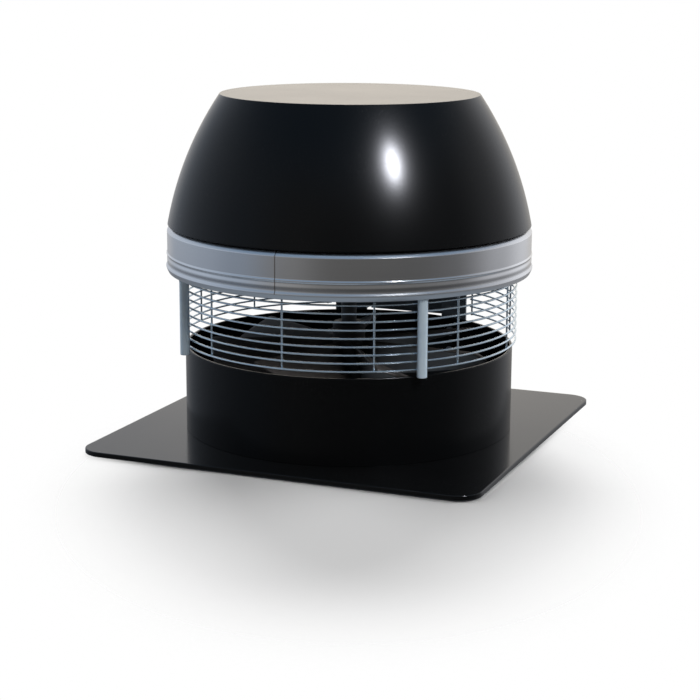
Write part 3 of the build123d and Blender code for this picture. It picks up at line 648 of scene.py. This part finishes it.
for k in range(impeller["blades"]):
    a = math.radians(impeller["phase"] + 360.0 / impeller["blades"] * k) + chordwise[None, :] * h
    centre = np.stack([r * np.cos(a), r * np.sin(a), impeller["level"] - d * chordwise + 0 * r], -1)
    normal = np.stack([-d * np.sin(a) + 0 * r, d * np.cos(a) + 0 * r, h * r + 0 * a], -1)
    normal /= np.linalg.norm(normal, axis=-1, keepdims=True)
    impellerGrids.append((centre + normal * halfThick, False, True))
addPiece("bladeWheel", impellerGrids, "impeller", finishes["bladeAluminium"], ["impeller"])
print("impeller made")

# floor: pale sheet under the object, in metres, fading into the backdrop
floorSheet = dict(
    radius=1.5, level=-0.0006, colour=(0.86, 0.86, 0.86), rough=0.9, rings=8, sides=96,
    fadeCentre=(0.085, -0.21, 0.0), fadeTurn=22.0, fadeSize=(0.29, 0.42, 1.0), fade=(0.62, 1.1),
)
turn = np.linspace(0, 2 * np.pi, floorSheet["sides"], endpoint=False)
ringsOut = np.linspace(0, floorSheet["radius"], floorSheet["rings"])
floorPoints = revolved(flatRows(ringsOut, floorSheet["level"]), turn)
floorCells = quadGrid(floorSheet["rings"], floorSheet["sides"], False, True, 0)[:, ::-1]
floorMesh = bpy.data.meshes.new("floorSheet")
floorMesh.from_pydata(floorPoints.reshape(-1, 3).tolist(), [], floorCells.tolist())
floorObject = bpy.data.objects.new("floorSheet", floorMesh)
scene.collection.objects.link(floorObject)
floorObject.visible_glossy = False
floorPaint = bpy.data.materials.new("paleFloor")
floorPaint.use_nodes = True
tree = floorPaint.node_tree
shader = tree.nodes["Principled BSDF"]
shader.inputs["Base Color"].default_value = (*floorSheet["colour"], 1)
shader.inputs["Roughness"].default_value = floorSheet["rough"]
shader.inputs["Specular IOR Level"].default_value = 0.0
# the sheet fades with the distance from a point in front of the object, measured in the ellipse's half axes
spot = tree.nodes.new("ShaderNodeMapping")
spot.vector_type = "TEXTURE"
spot.inputs["Location"].default_value = floorSheet["fadeCentre"]
spot.inputs["Rotation"].default_value = (0.0, 0.0, math.radians(floorSheet["fadeTurn"]))
spot.inputs["Scale"].default_value = floorSheet["fadeSize"]
tree.links.new(tree.nodes.new("ShaderNodeTexCoord").outputs["Object"], spot.inputs["Vector"])
reach = tree.nodes.new("ShaderNodeVectorMath")
reach.operation = "LENGTH"
tree.links.new(spot.outputs["Vector"], reach.inputs[0])
cover = rangeIn(tree, reach.outputs["Value"], *floorSheet["fade"], 1.0, 0.0)
tree.links.new(cover, shader.inputs["Alpha"])
floorMesh.materials.append(floorPaint)

# camera at the photograph's viewpoint
lens = dict(
    place=(0.7097, -1.7571, 0.5092), pitch=12.92, focal=94.6, sensor=36.0, shift=(0.0016, 0.0114),
    roll=0.0047,
)
cameraData = bpy.data.cameras.new("photoCamera")
cameraData.lens = lens["focal"]
cameraData.sensor_width = lens["sensor"]
cameraData.shift_x, cameraData.shift_y = lens["shift"]
camera = bpy.data.objects.new("photoCamera", cameraData)
scene.collection.objects.link(camera)
camera.location = lens["place"]
level = Vector((-lens["place"][0], -lens["place"][1], 0)).normalized()
pitch = math.radians(lens["pitch"])
aim = level * math.cos(pitch) - Vector((0, 0, math.sin(pitch)))
camera.rotation_mode = "QUATERNION"
camera.rotation_quaternion = aim.to_track_quat("-Z", "Y") @ Quaternion((0, 0, 1), lens["roll"])
scene.camera = camera

# studio: white backdrop behind the object, a dim room in front of it, cooler on the left
studio = dict(
    ahead=(-0.375, 0.927, 0.0), right=(0.927, 0.375, 0.0), fill=0.07,
    sideBlend=(-0.25, 0.25), sinking=(-0.3, -0.03), below=0.35,
    overhead=((0.16, 0.235, 0.335), 0.35, 0.8),  # colour, and the heights between which it comes in
    zenith=((0.37, 0.47, 0.59), 0.9, 0.985),
    nadir=((0.19, 0.225, 0.265), -0.45, -0.7),
    leftRamp=(
        (0.0, (0.142, 0.14, 0.138)), (0.10, (0.245, 0.245, 0.248)), (0.35, (0.30, 0.35, 0.425)),
        (0.60, (0.39, 0.445, 0.53)), (0.87, (0.44, 0.49, 0.57)), (0.98, (0.66, 0.67, 0.70)),
        (1.0, (1.58, 1.45, 1.27)),
    ),
    rightRamp=(
        (0.0, (0.142, 0.14, 0.138)), (0.12, (0.135, 0.135, 0.135)), (0.30, (0.165, 0.166, 0.172)),
        (0.65, (0.51, 0.52, 0.55)), (0.88, (0.82, 0.835, 0.875)), (0.98, (0.79, 0.765, 0.735)),
        (1.0, (1.58, 1.45, 1.27)),
    ),
)
world = bpy.data.worlds.new("studio")
scene.world = world
world.use_nodes = True
tree = world.node_tree
background = tree.nodes["Background"]
direction = tree.nodes.new("ShaderNodeTexCoord").outputs["Generated"]


def along(axis):
    node = tree.nodes.new("ShaderNodeVectorMath")
    node.operation = "DOT_PRODUCT"
    node.inputs[1].default_value = axis
    tree.links.new(direction, node.inputs[0])
    return node.outputs["Value"]


def ramp(stops):
    node = tree.nodes.new("ShaderNodeValToRGB")
    node.color_ramp.interpolation = "EASE"
    while len(node.color_ramp.elements) < len(stops):
        node.color_ramp.elements.new(0.5)
    for element, (place, colour) in zip(node.color_ramp.elements, stops):
        element.position = place
        element.color = (*colour, 1)
    tree.links.new(depth, node.inputs["Fac"])
    return node.outputs["Color"]


# depth: zero towards the camera, one straight behind the object
depth = mathIn(tree, "ADD", mathIn(tree, "MULTIPLY", along(studio["ahead"]), 0.5), 0.5)
toRight = rangeIn(tree, along(studio["right"]), *studio["sideBlend"], 0.0, 1.0)
sides = mixIn(tree, toRight, ramp(studio["leftRamp"]), ramp(studio["rightRamp"]))
# height layers: dim just below the horizon, cool straight down, cool above and lighter at the zenith
rise = along((0.0, 0.0, 1.0))
sunk = tree.nodes.new("ShaderNodeVectorMath")
sunk.operation = "SCALE"
tree.links.new(sides, sunk.inputs[0])
tree.links.new(rangeIn(tree, rise, *studio["sinking"], studio["below"], 1.0), sunk.inputs["Scale"])
room = sunk.outputs["Vector"]
for part in ("overhead", "zenith", "nadir"):
    colour, start, full = studio[part]
    room = mixIn(tree, rangeIn(tree, rise, start, full, 0.0, 1.0), room, colour)
# reflections see the room, other light gets an even fill, and the camera sees white
path = tree.nodes.new("ShaderNodeLightPath")
seen = mathIn(tree, "MAXIMUM", path.outputs["Is Glossy Ray"], path.outputs["Is Transmission Ray"])
roomLight = mixIn(tree, seen, (studio["fill"],) * 3, room)
backdrop = mixIn(tree, path.outputs["Is Camera Ray"], roomLight, (1.0, 1.0, 1.0))
tree.links.new(backdrop, background.inputs["Color"])
background.inputs["Strength"].default_value = 1.0

# lamps: an upright softbox at the front right that shows in the gloss, a small lamp each for the band and the
# wires, a broad fill, and wide soft suns behind for the shadow
lamps = dict(
    keySoftbox=dict(
        place=(1.262, -0.891, 1.45), aim=(0, 0, 0.29), shape="ELLIPSE", size=(0.22, 0.36), power=47.0,
        colour=(0.90, 0.92, 1.0), glossy=True, only="paintedPieces",
    ),
    keySpark=dict(
        place=(1.264, -0.889, 1.56), aim=(0, 0, 0.29), shape="ELLIPSE", size=(0.14, 0.14), power=1.4,
        glossy=True, only="bandPieces",
    ),
    wireSpark=dict(
        place=(1.264, -0.889, 1.56), aim=(0, 0, 0.29), shape="ELLIPSE", size=(0.05, 0.05), power=0.35,
        glossy=True, only="wirePieces",
    ),
    keyFill=dict(
        place=(1.3, -1.0, 1.4), aim=(0, 0, 0.2), shape="ELLIPSE", size=(0.6, 0.9), power=22.0, glossy=False,
        only="dressedPieces",
    ),
    backSun=dict(
        place=(-0.71, 1.76, 1.06), aim=(0, 0, 0), spread=38.0, power=4.1, glossy=False, only="sunlitPieces",
    ),
    leftSun=dict(
        place=(-1.88, 0.26, 1.06), aim=(0, 0, 0), spread=40.0, power=2.1, glossy=False, only="sunlitPieces",
    ),
    rightSun=dict(
        place=(1.17, 1.49, 1.06), aim=(0, 0, 0), spread=40.0, power=1.75, glossy=False, only="sunlitPieces",
    ),
)
# the pieces each lamp reaches
allMeshes = [thing.name for thing in scene.objects if thing.type == "MESH"]
lit = dict(
    paintedPieces=["cowlShell", "inletTube", "footPlate", "bladeWheel"],
    bandPieces=["bandRing"],
    wirePieces=["guardWires", "guardRod_left", "guardRod_right"],
    dressedPieces=[name for name in allMeshes if name != "floorSheet"],
    sunlitPieces=[name for name in allMeshes if name != "bladeWheel"],
)
for group, names in lit.items():
    collection = bpy.data.collections.new(group)
    for name in names:
        collection.objects.link(bpy.data.objects[name])
for name, lamp in lamps.items():
    data = bpy.data.lights.new(name, "SUN" if "spread" in lamp else "AREA")
    if "spread" in lamp:
        data.angle = math.radians(lamp["spread"])
    else:
        data.shape = lamp["shape"]
        data.size, data.size_y = lamp["size"]
    data.energy = lamp["power"]
    data.color = lamp.get("colour", (1, 1, 1))
    light = bpy.data.objects.new(name, data)
    scene.collection.objects.link(light)
    light.location = lamp["place"]
    light.visible_glossy = lamp["glossy"]
    light.visible_diffuse = not lamp["glossy"]
    light.light_linking.receiver_collection = bpy.data.collections[lamp["only"]]
    light.rotation_mode = "QUATERNION"
    light.rotation_quaternion = (Vector(lamp["aim"]) - Vector(lamp["place"])).to_track_quat("-Z", "Y")

scene.view_settings.view_transform = "Standard"
